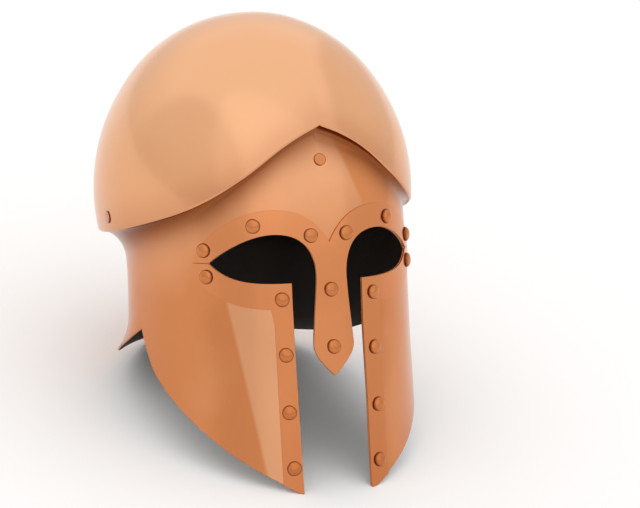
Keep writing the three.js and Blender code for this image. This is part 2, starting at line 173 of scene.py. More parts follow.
def coveSpan(azimuth):
    # the cove's top, its height and how far out it reaches, which is to just inside the skull
    top = ridgeHeight(azimuth) + wall["lipDrop"]
    reach = skullRadius(azimuth, top, skull["thickness"] + wall["lapGap"])
    overhang = reach - wallRadius(azimuth, ridgeHeight(azimuth) - wall["coveLeast"])
    return top, wall["coveLeast"] + wall["covePerOverhang"] * overhang, reach


def atRadius(azimuth, radius, height):
    angle = np.radians(azimuth)
    return np.stack(
        [radius * np.sin(angle), -wall["stationForward"] - radius * np.cos(angle), height], -1
    )


def wallSurface(azimuth, height):
    # the section's radius, plus a flare that grows with the square of the way down to the neck
    # rim, plus a quarter-round cove under the ridge; above that it follows the skull's inside
    radius = wallRadius(azimuth, height)
    up = (height - lowerEdgeHeight(azimuth)) / wall["flareHeight"]
    atRim = alongTable(neckEdge, "flare", np.abs(azimuth))
    flare = atRim * np.maximum(0, 1 - up) ** 2
    top, tall, reach = coveSpan(azimuth)
    t = np.clip(1 + (height - top) / tall, 0, 1)
    cove = (reach - radius) * (1 - np.sqrt(1 - t * t))
    lap = skullRadius(azimuth, height, skull["thickness"] + wall["lapGap"])
    return atRadius(azimuth, np.where(height > top, lap, radius + cove + flare), height)


def skullSurface(turn, drop):
    # two half ellipsoids that share their widest section
    turn, drop = np.broadcast_arrays(turn, drop)
    length = np.where(np.cos(turn) > 0, skull["front"], skull["rear"])
    return np.stack(
        [
            skull["halfWidth"] * np.sin(drop) * np.sin(turn),
            -length * np.sin(drop) * np.cos(turn),
            skull["widestHeight"] + skull["rise"] * np.cos(drop),
        ],
        -1,
    )


def unit(vectors):
    return vectors / np.maximum(np.linalg.norm(vectors, axis=-1, keepdims=True), 1e-12)


def wallNormal(azimuth, height, step=0.05):
    # across the difference of two near points each way
    around = wallSurface(azimuth + step, height) - wallSurface(azimuth - step, height)
    upward = wallSurface(azimuth, height + step) - wallSurface(azimuth, height - step)
    return unit(np.cross(around, upward))


def skullNormal(points):
    # the ellipsoid's own: each coordinate over the square of its half size
    length = np.where(points[..., 1] < 0, skull["front"], skull["rear"])
    return unit(
        np.stack(
            [
                points[..., 0] / skull["halfWidth"] ** 2,
                points[..., 1] / length**2,
                (points[..., 2] - skull["widestHeight"]) / skull["rise"] ** 2,
            ],
            -1,
        )
    )


# Beaten sheet is never quite true: a few long, low waves, each with its length in millimetres,
# its height and the way it runs.
sheetWaves = [
    {"length": 83, "height": 0.16, "along": (0.9, 0.2, 0.5), "start": 0.4},
    {"length": 61, "height": 0.11, "along": (-0.3, 0.8, 0.6), "start": 2.1},
    {"length": 47, "height": 0.07, "along": (0.5, -0.6, 0.7), "start": 4.0},
    {"length": 34, "height": 0.035, "along": (-0.7, -0.3, 0.6), "start": 1.2},
    {"length": 23, "height": 0.014, "along": (0.2, 0.9, -0.4), "start": 5.3},
]


def uneven(points, normals, waves):
    # moves each point out by the sum of the waves there, and tips its normal by their slope
    rise = np.zeros(points.shape[:-1])
    slope = np.zeros(points.shape)
    for wave in waves:
        way = unit(np.array(wave["along"])) * (2 * math.pi / wave["length"])
        phase = points @ way + wave["start"]
        rise += wave["height"] * np.sin(phase)
        slope += wave["height"] * np.cos(phase)[..., None] * way
    slope -= (slope * normals).sum(-1, keepdims=True) * normals
    return points + normals * rise[..., None], unit(normals - slope)


# Resting place.


def frontAzimuth(x, height):
    # where the front of the wall stands at this distance from the middle
    power = wall["frontPower"]
    side = alongTable(wallSections, "side", height)
    ahead = alongTable(wallSections, "front", height)
    along = ahead * (1 - np.abs(x / side) ** power) ** (1 / power)
    return np.degrees(np.arctan2(x, along))


groundTrim = 1.2  # a small flat foot is worn at each cheek tip and at the back of the rim
tipAzimuth = frontAzimuth(faceHalf["left"]["slot"], 0)
cheekTip = wallSurface(tipAzimuth, lowerEdgeHeight(tipAzimuth))
rimBack = wallSurface(180.0, lowerEdgeHeight(180.0))
lean = math.atan2(rimBack[2] - cheekTip[2], rimBack[1] - cheekTip[1])
leanTurn = np.array(
    [[1, 0, 0], [0, math.cos(lean), math.sin(lean)], [0, -math.sin(lean), math.cos(lean)]]
)
groundHeight = (leanTurn @ cheekTip)[2] + groundTrim
# The frame's skull says how far back the helmet stands.
crownRing = skullSurface(np.linspace(0, 2 * math.pi, 721)[None], np.linspace(0, 2, 400)[:, None])
skullBack = (crownRing @ leanTurn.T)[..., 1].max()
groundShift = np.array([0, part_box("skull")[1].y * 1000 - skullBack, -groundHeight])


def onGround(points):
    return (points @ leanTurn.T + groundShift) * 0.001


def leanBack(directions):
    return directions @ leanTurn.T


# Meshes.


def gridFaces(rows, columns, first=0):
    # quads of a grid of points, rows up and columns to the left of someone facing out
    index = first + np.arange(rows * columns).reshape(rows, columns)
    return np.stack([index[:-1, :-1], index[:-1, 1:], index[1:, 1:], index[1:, :-1]], -1).reshape(-1, 4)


def weld(points, quads):
    # points at the same place become one, and a quad that loses a corner becomes a triangle
    place = np.round(points, 3) + 0.0
    _, first, same = np.unique(place, axis=0, return_index=True, return_inverse=True)
    quads = same.reshape(-1)[quads]
    lost = quads == np.roll(quads, -1, axis=1)
    whole = quads[~lost.any(1)]
    triangles = [np.delete(quads[lost[:, k] & (lost.sum(1) == 1)], k, axis=1) for k in range(4)]
    return first, whole, np.concatenate(triangles)


def openEdges(quads, triangles, count):
    # directed edges that no other face runs back along
    pairs = [np.stack([f, np.roll(f, -1, axis=1)], -1).reshape(-1, 2) for f in (quads, triangles)]
    pairs = np.concatenate(pairs)
    forward = pairs[:, 0] * count + pairs[:, 1]
    backward = pairs[:, 1] * count + pairs[:, 0]
    return pairs[~np.isin(forward, backward)]


def closedSheet(points, normals, quads, triangles, sheet):
    # the outer face, the same face a thickness in, and a rounded edge carried along the border:
    # at an angle f it has gone in by thickness * (1 - cos f) / (1 - cos end) and out past the
    # border by round * sin f
    count = len(points)
    border = openEdges(quads, triangles, count)
    start, stop = border.T
    outward = np.zeros_like(points)
    away = unit(np.cross(points[stop] - points[start], normals[start] + normals[stop]))
    np.add.at(outward, start, away)
    np.add.at(outward, stop, away)
    rim = np.unique(border)
    outward = unit(outward[rim])
    slot = np.full(count, -1)
    slot[rim] = np.arange(len(rim))

    end = sheet["edgeTurn"]
    angles = np.linspace(0, end, sheet["edgeSteps"] + 1)[1:-1] if end > math.pi / 2 + 0.1 else (
        np.linspace(0, end, sheet["edgeSteps"] + 1)[1:]
    )
    inward = sheet["thickness"] * (1 - np.cos(angles)) / (1 - math.cos(end))
    past = sheet["edgeRound"] * np.sin(angles)
    rimPoints = (
        points[rim][None]
        - normals[rim][None] * inward[:, None, None]
        + outward[None] * past[:, None, None]
    )
    lie = np.cos(angles)[:, None, None] * normals[rim][None] * sheet["edgeRound"]
    rimNormals = unit(lie + np.sin(angles)[:, None, None] * outward[None] * sheet["thickness"] / 2)

    inner = points - normals * sheet["thickness"]
    steps = len(angles)
    rows = [start] + [count + k * len(rim) + slot[start] for k in range(steps)]
    ends = [stop] + [count + k * len(rim) + slot[stop] for k in range(steps)]
    base = count + steps * len(rim)
    rows.append(base + start)
    ends.append(base + stop)
    edgeFaces = np.concatenate(
        [np.stack([rows[k], rows[k + 1], ends[k + 1], ends[k]], -1) for k in range(steps + 1)]
    )
    return {
        "points": np.concatenate([points, rimPoints.reshape(-1, 3), inner]),
        "normals": np.concatenate([normals, rimNormals.reshape(-1, 3), -normals]),
        "outside": [quads, edgeFaces, triangles],
        "inside": [base + quads[:, ::-1], base + triangles[:, ::-1]],
    }


creaseWidth = 16


def addPiece(name, shape, materials, body, stands):
    # shape holds upright points and normals, and faces by material
    mesh = bpy.data.meshes.new(name)
    groups = [shape["outside"], shape.get("inside", [])]
    faces = [face for group in groups for part in group for face in part.tolist()]
    mesh.from_pydata(onGround(shape["points"]), [], faces)
    counts = [sum(len(part) for part in group) for group in groups]
    mesh.polygons.foreach_set("material_index", np.repeat([0, 1], counts).astype(np.int32))
    mesh.polygons.foreach_set("use_smooth", np.ones(len(faces), bool))
    # a rivet's share of its widest radius, by which painted shade is laid round its head
    if "headShadeRadius" in shape:
        headShadeRadius = mesh.attributes.new("headShadeRadius", "FLOAT", "POINT")
        headShadeRadius.data.foreach_set("value", shape["headShadeRadius"].astype(np.float32))
    # the upright place of each point, in millimetres, for the materials to be laid out by
    upright = mesh.attributes.new("upright", "FLOAT_VECTOR", "POINT")
    upright.data.foreach_set("vector", shape["points"].astype(np.float32).ravel())
    # how near each point is to the ridge line: a bell curve of its height above or below it, by which
    # painted shade is laid near the ridge
    across, along, height = shape["points"].T
    azimuth = np.degrees(np.arctan2(across, -along - wall["stationForward"]))
    under = ridgeHeight(azimuth) - height
    crease = mesh.attributes.new("crease", "FLOAT", "POINT")
    crease.data.foreach_set("value", np.exp(-((under / creaseWidth) ** 2)).astype(np.float32))
    for material in materials:
        mesh.materials.append(material)
    mesh.normals_split_custom_set_from_vertices(leanBack(shape["normals"]))
    mesh.update()
    piece = bpy.data.objects.new(name, mesh)
    bpy.context.scene.collection.objects.link(piece)
    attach(piece, body)
    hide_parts(*stands)
    return piece


# Outlines on the wall.


def bend(start, leave, arrive, end, count=80):
    # a cubic curve between two points, leaving and arriving along the other two
    t = np.linspace(0, 1, count)[:, None]
    p, q, r, s = (np.array(point, float) for point in (start, leave, arrive, end))
    return p * (1 - t) ** 3 + 3 * q * t * (1 - t) ** 2 + 3 * r * t * t * (1 - t) + s * t**3


def evenly(curve, count):
    # points at even distances along it
    far = np.r_[0, np.cumsum(np.linalg.norm(np.diff(curve, axis=0), axis=1))]
    at = np.linspace(0, far[-1], count)
    return np.stack([np.interp(at, far, curve[:, k]) for k in range(curve.shape[1])], -1)


def line(start, end, count=80):
    return np.linspace(start, end, count).astype(float)


def joined(*curves):
    return np.concatenate([curves[0]] + [curve[1:] for curve in curves[1:]])


def toWall(outline):
    # from a front view to azimuth and height
    return np.stack([frontAzimuth(outline[..., 0], outline[..., 1]), outline[..., 1]], -1)


def eyeUpper(half):
    root = half["noseRoot"]
    return joined(
        bend(root, (root[0] + 0.2, 163), (22, 171), opening["eyeTop"]),
        bend(opening["eyeTop"], (51, 171), (65, 160.5), opening["eyeOuter"]),
    )


def eyeLower(half):
    return bend(half["innerCorner"], (52, 138), (64, 138.4), opening["eyeOuter"])


def noseEdge(half):
    root, widest = half["noseRoot"], half["noseWidest"]
    return joined(
        bend(opening["noseTip"], (8, 84), (widest[0], 91), widest),
        bend(widest, (widest[0] - 0.9, 113), (root[0] + 0.4, 130), root),
    )


def slotX(half, height):
    # the slot's edge leans a little from its inner corner to its foot
    down = (half["innerCorner"][1] - height) / (half["innerCorner"][1] - slotFoot)
    return half["innerCorner"][0] + (half["slot"] - half["innerCorner"][0]) * down


def footOfEdge(xAt, below=0.0):
    # where a nearly upright edge, given as x at a height, meets the wall's lower edge
    height = 0.0
    for _ in range(8):
        height = float(lowerEdgeHeight(frontAzimuth(xAt(height), height))) - below
    return np.array([xAt(height), height])


def ruled(low, high, rows):
    # straight lines from each point of one curve to its fellow on the other
    t = np.linspace(0, 1, rows)[:, None, None]
    return low[None] * (1 - t) + high[None] * t


def patch(low, high, left, right):
    # ruled both ways between four curves, less the corners that this counts twice
    s = np.linspace(0, 1, len(low))[None, :, None]
    t = np.linspace(0, 1, len(left))[:, None, None]
    across = low[None] * (1 - t) + high[None] * t
    upward = left[:, None] * (1 - s) + right[:, None] * s
    corners = (low[0] * (1 - s) + low[-1] * s) * (1 - t) + (high[0] * (1 - s) + high[-1] * s) * t
    return across + upward - corners


def toRight(grids):
    # grids drawn as for the wearer's left, taken over to the right with their faces still out
    return [grid[:, ::-1] * (-1, 1) for grid in grids]


def fromGrids(grids):
    flat = np.concatenate([grid.reshape(-1, 2) for grid in grids])
    starts = np.r_[0, np.cumsum([grid.shape[0] * grid.shape[1] for grid in grids])]
    quads = [gridFaces(*grid.shape[:2], first) for grid, first in zip(grids, starts)]
    return flat, np.concatenate(quads)


def wallSheet(grids, sheet):
    # a sheet lying this far off the wall, from grids of azimuth and height
    places, quads = fromGrids(grids)
    azimuth, height = places.T
    bare = wallSurface(azimuth, height)
    first, quads, triangles = weld(bare, quads)
    normals = wallNormal(azimuth[first], height[first])
    points, normals = uneven(bare[first], normals, sheetWaves)
    points = points + normals * (sheet["off"] + (sheet["thickness"] if sheet["off"] else 0))
    shape = closedSheet(points, normals, quads, triangles, sheet)
    aboveGround = shape["points"] @ leanTurn.T
    aboveGround[:, 2] = np.maximum(aboveGround[:, 2], groundHeight)  # the flat feet
    shape["points"] = aboveGround @ leanTurn
    return shape


# Materials.

# Colours are linear. Each copper goes from its low colour to its high one by height and by soft
# patches, and its roughness follows fine upright polishing streaks.
copper = {
    "skull": {"low": (0.74, 0.345, 0.155), "high": (0.79, 0.42, 0.225), "from": 165, "to": 250},
    "wall": {"low": (0.61, 0.225, 0.085), "high": (0.76, 0.37, 0.19), "from": 120, "to": 215},
    "plate": {"low": (0.60, 0.21, 0.08), "high": (0.67, 0.26, 0.105), "from": 0, "to": 190},
    "rivet": {"low": (0.52, 0.17, 0.055), "high": (0.60, 0.22, 0.08), "from": 0, "to": 220},
    # a painted reflection: a lighter pink laid on the right cheek inside a crisp line
    "pink": (0.69, 0.33, 0.17),
    # the darker side of a painted reflection's edge on the forehead
    "foreheadLeft": (0.70, 0.27, 0.105),
    # painted shade along the skull's rolled lip
    "edge": (0.45, 0.16, 0.09),
    # painted shade, the darkest colour: laid in the crease under the ridge and round each rivet head
    "paintedShade": (0.22, 0.055, 0.014),
    "patchScale": 9,
    "patchAmount": 0.5,
    "streakScale": (160, 160, 8),
    "smooth": 0.15,
    "rough": 0.25,
    "bump": 0.006,
    # the line on the cheek where the pink of a painted reflection meets orange: x at the height 15, and
    # its slope
    "cheekLine": 48,
    "cheekLineAt": 15,
    "cheekSlope": 0.147,
    "cheekTop": (150, 135),  # the pink fades out between these heights
    "cheekMiddle": (0.0, 2.0),  # and between these distances from the middle
    "cheekBack": (-30, -45),  # and between these distances behind the face
    # the line on the forehead, the edge of a painted reflection: how it leans, where it stands, and
    # where it fades in
    "foreheadSlope": 0.37,
    "foreheadAt": 97.3,
    "foreheadLow": (150, 175),
    # how much painted shade is laid near the ridge line on the wall
    "creaseShadeShare": 0.95,
    # how much painted shade is laid on the skull towards its rolled lip
    "edgeShadeShare": 0.3,
    # from this share of a rivet's widest radius out, painted shade darkens its head
    "headShadeFrom": 0.82,
    "bumpDepth": 0.0004,
}

inside = {
    "low": (0.006, 0.004, 0.003),
    "high": (0.04, 0.025, 0.016),
    "patchScale": 30,
    "patchStretch": (1, 1, 0.2),
    "roughness": 0.65,
}


def maths(tree, operation, *values):
    node = tree.nodes.new("ShaderNodeMath")
    node.operation = operation
    for index, value in enumerate(values):
        if isinstance(value, (int, float)):
            node.inputs[index].default_value = value
        else:
            tree.links.new(value, node.inputs[index])
    return node.outputs[0]


def between(tree, value, low, high):
    # 0 at low, 1 at high, held past both
    node = tree.nodes.new("ShaderNodeMapRange")
    tree.links.new(value, node.inputs["Value"])
    node.inputs["From Min"].default_value = low
    node.inputs["From Max"].default_value = high
    return node.outputs["Result"]


def blend(tree, share, first, second):
    node = tree.nodes.new("ShaderNodeMix")
    node.data_type = "RGBA"
    tree.links.new(share, node.inputs[0])
    for index, colour in ((6, first), (7, second)):
        if isinstance(colour, tuple):
            node.inputs[index].default_value = (*colour, 1)
        else:
            tree.links.new(colour, node.inputs[index])
    return node.outputs[2]


def noise(tree, scale, stretch=(1, 1, 1), detail=3):
    where = tree.nodes.new("ShaderNodeTexCoord")
    mapping = tree.nodes.new("ShaderNodeMapping")
    mapping.inputs["Scale"].default_value = stretch
    node = tree.nodes.new("ShaderNodeTexNoise")
    node.inputs["Scale"].default_value = scale
    node.inputs["Detail"].default_value = detail
    tree.links.new(where.outputs["Object"], mapping.inputs["Vector"])
    tree.links.new(mapping.outputs["Vector"], node.inputs["Vector"])
    return node.outputs[0]


def pointValue(tree, name):
    node = tree.nodes.new("ShaderNodeAttribute")
    node.attribute_name = name
    return node


def newMaterial(name):
    material = bpy.data.materials.new(name)
    material.use_nodes = True
    return material, material.node_tree, material.node_tree.nodes["Principled BSDF"]


def copperMaterial(name, kind):
    c = copper
    k = c[kind]
    material, tree, shader = newMaterial(name)
    place = tree.nodes.new("ShaderNodeSeparateXYZ")
    tree.links.new(pointValue(tree, "upright").outputs["Vector"], place.inputs[0])
    height = place.outputs["Z"]
    patches = maths(tree, "SUBTRACT", noise(tree, c["patchScale"]), 0.5)
    climb = between(tree, height, k["from"], k["to"])
    share = maths(tree, "MULTIPLY_ADD", patches, c["patchAmount"] * 3, climb)
    share = maths(tree, "MINIMUM", maths(tree, "MAXIMUM", share, 0.0), 1.0)
    colour = blend(tree, share, k["low"], k["high"])
    if kind == "wall":
        # a painted reflection: pink inside the line on the right cheek, which leans out as it rises
        outward = maths(tree, "MULTIPLY", place.outputs["X"], -1.0)
        foot = c["cheekLine"] - c["cheekLineAt"] * c["cheekSlope"]
        edgeLine = maths(tree, "MULTIPLY_ADD", height, c["cheekSlope"], foot)
        within = between(tree, maths(tree, "SUBTRACT", edgeLine, outward), -1.0, 1.0)
        under = between(tree, height, *c["cheekTop"])
        under = maths(tree, "MULTIPLY", under, between(tree, outward, *c["cheekMiddle"]))
        under = maths(tree, "MULTIPLY", under, between(tree, place.outputs["Y"], *c["cheekBack"]))
        colour = blend(tree, maths(tree, "MULTIPLY", within, under), colour, c["pink"])
        # the edge of a painted reflection: redder and darker on the left of the forehead, past a line
        # that leans out as it goes down
        shifted = maths(tree, "SUBTRACT", place.outputs["X"], c["foreheadAt"])
        past = maths(tree, "MULTIPLY_ADD", height, c["foreheadSlope"], shifted)
        low = between(tree, height, *c["foreheadLow"])
        side = maths(tree, "MULTIPLY", between(tree, past, -1.0, 1.5), low)
        colour = blend(tree, side, colour, c["foreheadLeft"])
        # painted shade: darker near the ridge line, in the crease under the skull's lip
        crease = maths(tree, "MULTIPLY", pointValue(tree, "crease").outputs["Fac"], c["creaseShadeShare"])
        colour = blend(tree, crease, colour, c["paintedShade"])
    if kind == "skull":
        # painted shade: darker, a duller pink, towards the rolled edge
        edge = maths(tree, "MULTIPLY", pointValue(tree, "crease").outputs["Fac"], c["edgeShadeShare"])
        colour = blend(tree, edge, colour, c["edge"])
    if kind == "rivet":
        # painted shade: dark where the head meets the sheet
        ring = between(tree, pointValue(tree, "headShadeRadius").outputs["Fac"], c["headShadeFrom"], 1.0)
        colour = blend(tree, ring, colour, c["paintedShade"])
    tree.links.new(colour, shader.inputs["Base Color"])
    shader.inputs["Metallic"].default_value = 1
    streaks = noise(tree, 1, c["streakScale"], 4)
    roughness = maths(tree, "MULTIPLY_ADD", streaks, c["rough"] - c["smooth"], c["smooth"])
    tree.links.new(roughness, shader.inputs["Roughness"])
    bump = tree.nodes.new("ShaderNodeBump")
    bump.inputs["Strength"].default_value = c["bump"]
    bump.inputs["Distance"].default_value = c["bumpDepth"]
    tree.links.new(streaks, bump.inputs["Height"])
    tree.links.new(bump.outputs["Normal"], shader.inputs["Normal"])
    return material


def insideMaterial():
    # the dull dark inside: near black to dark brown, a little lighter in patches
    material, tree, shader = newMaterial("darkInside")
    patches = noise(tree, inside["patchScale"], inside["patchStretch"])
    colour = blend(tree, patches, inside["low"], inside["high"])
    tree.links.new(colour, shader.inputs["Base Color"])
    shader.inputs["Roughness"].default_value = inside["roughness"]
    return material


skullCopper = copperMaterial("skullCopper", "skull")
polished = copperMaterial("wallCopper", "wall")
platePolish = copperMaterial("plateCopper", "plate")
rivetCopper = copperMaterial("rivetCopper", "rivet")
darkInside = insideMaterial()


# Skull.


def makeSkull():
    turn = np.linspace(-math.pi, math.pi, skull["columns"] + 1)
    drop = np.full(turn.shape, math.pi / 2)
    for _ in range(12):  # where each column meets the ridge, found by going back and forth
        point = skullSurface(turn, drop)
        azimuth = np.degrees(np.arctan2(point[:, 0], -point[:, 1] - wall["stationForward"]))
        edge = ridgeHeight(azimuth) + skull["lipRound"]
        drop = np.arccos((edge - skull["widestHeight"]) / skull["rise"])
    up = np.linspace(0, 1, skull["rows"])[:, None] ** 1.15
    bare = skullSurface(turn[None], drop[None] * (1 - up))
    flat = bare.reshape(-1, 3)
    first, quads, triangles = weld(flat, gridFaces(*bare.shape[:2]))
    points, normals = uneven(flat[first], skullNormal(flat[first]), sheetWaves)
    sheet = {
        "thickness": skull["thickness"],
        "edgeRound": skull["lipRound"],
        "edgeTurn": math.pi / 2,
        "edgeSteps": 7,
    }
    shape = closedSheet(points, normals, quads, triangles, sheet)
    addPiece("skullShell", shape, [skullCopper, darkInside], "root", ["skull"])


makeSkull()
print("skull made")


# Face and neck wall.

wallGrid = {
    "noseColumns": 11,
    "noseRows": 52,
    "eyeColumns": 58,
    "templeColumns": 38,
    "napeColumns": 64,
    "upperRows": 38,
    "coveRows": 12,
    "lapRows": 5,
    "lowerRows": 66,
    "noseTopAzimuth": 2.6,  # the first column past the nose ends here at the top
    "cheekAzimuth": 52,  # and the one from the eye's outer corner here at the bottom
    "midNotch": 124,  # heights of the level that joins the upper and lower grids
    "midNape": 112,
}


def wallHalfGrids(half):
    g = wallGrid
    notch = wall["notchAzimuth"]
    # the level between the grids: nose root, eye, then round the side to the nape
    root = toWall(np.array(half["noseRoot"], float))
    outer = toWall(np.array(opening["eyeOuter"], float))
    acrossNose = line((0, root[1]), root, g["noseColumns"])
    overEye = toWall(evenly(eyeUpper(half), g["eyeColumns"]))
    temple = line(outer, (notch, g["midNotch"]), g["templeColumns"])
    nape = line((notch, g["midNotch"]), (180, g["midNape"]), g["napeColumns"])

    # nose: level rows from the middle to its edge
    side = toWall(evenly(noseEdge(half), g["noseRows"]))
    share = np.stack([np.linspace(0, 1, g["noseColumns"]), np.ones(g["noseColumns"])], -1)
    nose = side[:, None] * share[None]

    # upper grid, then the cove by even angles of its quarter round, then the lap in the skull
    low = joined(acrossNose, overEye, temple, nape)
    topAzimuth = np.concatenate(
        [
            np.linspace(0, g["noseTopAzimuth"], g["noseColumns"])[:-1],
            np.linspace(g["noseTopAzimuth"], outer[0], g["eyeColumns"])[:-1],
            temple[:-1, 0],
            nape[:, 0],
        ]
    )
    top, tall, _ = coveSpan(topAzimuth)
    upper = ruled(low, np.stack([topAzimuth, top - tall], -1), g["upperRows"])
    rise = np.sin(np.linspace(0, math.pi / 2, g["coveRows"]))[:, None]
    coveHeights = top - tall * (1 - rise)
    cove = np.stack([np.broadcast_to(topAzimuth, coveHeights.shape), coveHeights], -1)
    lapHeights = top + wall["lapHeight"] * np.linspace(0, 1, g["lapRows"])[:, None]
    lap = np.stack([np.broadcast_to(topAzimuth, lapHeights.shape), lapHeights], -1)

    # lower grid: from the cheek and neck edges up to the eye and that level
    foot = footOfEdge(lambda height: slotX(half, height))
    slot = toWall(evenly(line(foot, half["innerCorner"], 200), g["lowerRows"]))
    bottomAzimuth = np.concatenate(
        [
            np.linspace(slot[0, 0], g["cheekAzimuth"], g["eyeColumns"])[:-1],
            np.linspace(g["cheekAzimuth"], notch - 1e-6, g["templeColumns"])[:-1],
            np.linspace(notch, 180, g["napeColumns"]),
        ]
    )
    bottom = np.stack([bottomAzimuth, lowerEdgeHeight(bottomAzimuth)], -1)
    underEye = toWall(evenly(eyeLower(half), g["eyeColumns"]))
    middle = joined(underEye, temple, nape)
    lower = patch(bottom, middle, slot, line(bottom[-1], middle[-1], g["lowerRows"]))
    return [nose, upper, cove, lap, lower]


def makeWall():
    sheet = {
        "off": 0,
        "thickness": wall["thickness"],
        "edgeRound": 0.3,
        "edgeTurn": math.pi,
        "edgeSteps": 6,
    }
    grids = wallHalfGrids(faceHalf["left"]) + toRight(wallHalfGrids(faceHalf["right"]))
    shape = wallSheet(grids, sheet)
    addPiece("faceAndNeckWall", shape, [polished, darkInside], "root", ["face_and_neck"])


makeWall()
print("face and neck wall made")


# Plates.

plate = {
    "off": 0.06,
    "thickness": 1.0,
    "edgeRound": 0.22,
    "edgeTurn": math.pi,
    "edgeSteps": 6,
    "seam": (78.9, 150.1),
    "seamGap": 0.8,
    "browTop": (36, 186.5),
    "vee": (0, 164.4),
    "cheekCorner": (40, 121.8),
    "stripEdge": 38.2,
    "stripStart": 110.8,
    "belowWall": 0.5,
    "across": 14,
    "noseColumns": 12,
    "noseRows": 64,
    "eyeColumns": 84,
    "stripColumns": 96,
}


def browHalfGrids(half):
    p = plate
    seam = np.array([p["seam"][0], p["seam"][1] + p["seamGap"] / 2])
    brow = joined(
        bend(p["vee"], (9, 180), (20, 186.5), p["browTop"]),
        bend(p["browTop"], (62, 186.5), (78.5, 163), seam),
    )
    inner = eyeUpper(half)
    inner[-1, 1] += p["seamGap"] / 2
    root = np.array(half["noseRoot"], float)
    low = joined(line((0, root[1]), root, p["noseColumns"]), evenly(inner, p["eyeColumns"]))
    upper = ruled(low, evenly(brow, len(low)), p["across"])
    share = np.stack([np.linspace(0, 1, p["noseColumns"]), np.ones(p["noseColumns"])], -1)
    nose = evenly(noseEdge(half), p["noseRows"])[:, None] * share[None]
    return [toWall(nose), toWall(upper)]


def cheekHalfGrids(half):
    p = plate
    seam = np.array([p["seam"][0], p["seam"][1] - p["seamGap"] / 2])
    inner = eyeLower(half)[::-1].copy()
    inner[0, 1] -= p["seamGap"] / 2
    under = bend(seam, (79.2, 128), (60, 122), p["cheekCorner"])
    band = ruled(evenly(inner, p["eyeColumns"]), evenly(under, p["eyeColumns"]), p["across"])
    inside = footOfEdge(lambda height: slotX(half, height), p["belowWall"])
    outside = footOfEdge(lambda height: p["stripEdge"], p["belowWall"])
    down = evenly(line(half["innerCorner"], inside), p["stripColumns"])
    turn = (p["stripEdge"], p["stripStart"])
    outer = joined(line(p["cheekCorner"], turn), line(turn, outside))
    strip = ruled(down, evenly(outer, p["stripColumns"]), p["across"])
    return [toWall(band), toWall(strip)]


def makePlates():
    brow = browHalfGrids(faceHalf["left"]) + toRight(browHalfGrids(faceHalf["right"]))
    left = cheekHalfGrids(faceHalf["left"])
    right = toRight(cheekHalfGrids(faceHalf["right"]))
    for name, node, grids in (
        ("browAndNosePlate", "brow_and_nose_plate", brow),
        ("cheekPlateLeft", "cheek_plate_left", left),
        ("cheekPlateRight", "cheek_plate_right", right),
    ):
        shape = wallSheet(grids, plate)
        addPiece(name, shape, [platePolish, darkInside], "root", [node])


makePlates()
print("plates made")


# Rivets.

rivet = {
    "headRadius": 4.9,
    "headHeight": 3.0,
    "undercut": 0.35,
    "shankRadius": 1.7,
    "tailRadius": 3.0,
    "tailHeight": 0.8,
    "sides": 40,
    "flatRadius": 4.3,
    "brow": [(48.5, 176.3), (12.8, 169.6), (74, 159)],
    "cheek": [(73.4, 141.8), (33.2, 128.3), (32.4, 91.7), (32.4, 53.8), (31.3, 17.1)],
    "nose": [133.5, 95.6],
    "forehead": 217.7,
    "skullAzimuth": 104,
    "skullAboveEdge": 10.5,
}

# Hammering leaves each head a little out of true.
rivetWaves = [
    {"length": 9.1, "height": 0.11, "along": (0.8, 0.3, 0.5), "start": 0.9},
    {"length": 6.3, "height": 0.06, "along": (-0.4, 0.5, 0.8), "start": 3.3},
    {"length": 4.1, "height": 0.025, "along": (0.6, -0.2, -0.7), "start": 1.7},
]


def arc(radius, height, start, end, count, base=0):
    # an elliptical arc as radius and height
    angle = np.radians(np.linspace(start, end, count))
    return np.stack([radius * np.cos(angle), base + height * np.sin(angle)], -1)


def rivetProfile(domed, grip):
    # from the tail's middle out, up the shank and over the head to its middle
    r = rivet
    tailTop = -grip
    tail = [(0, tailTop - r["tailHeight"]), (r["tailRadius"] * 0.8, tailTop - r["tailHeight"])]
    tail += [(r["tailRadius"], tailTop - r["tailHeight"] / 2), (r["tailRadius"], tailTop)]
    tail += [(r["shankRadius"], tailTop), (r["shankRadius"], 0.05)]
    if domed:
        under = [(r["headRadius"] - r["undercut"], 0.05)]
        head = arc(r["headRadius"], r["headHeight"] - 0.35, -8, 90, 15, 0.35)
    else:
        under = [(r["flatRadius"] - 0.3, 0.02)]
        head = joined(
            arc(0.4, 0.3, -50, 80, 6, 0.25) + (r["flatRadius"] - 0.4, 0),
            np.array([(r["flatRadius"] - 0.5, 0.55), (r["flatRadius"] * 0.5, 0.62), (0, 0.64)]),
        )
    return np.concatenate([np.array(tail), np.array(under), head])


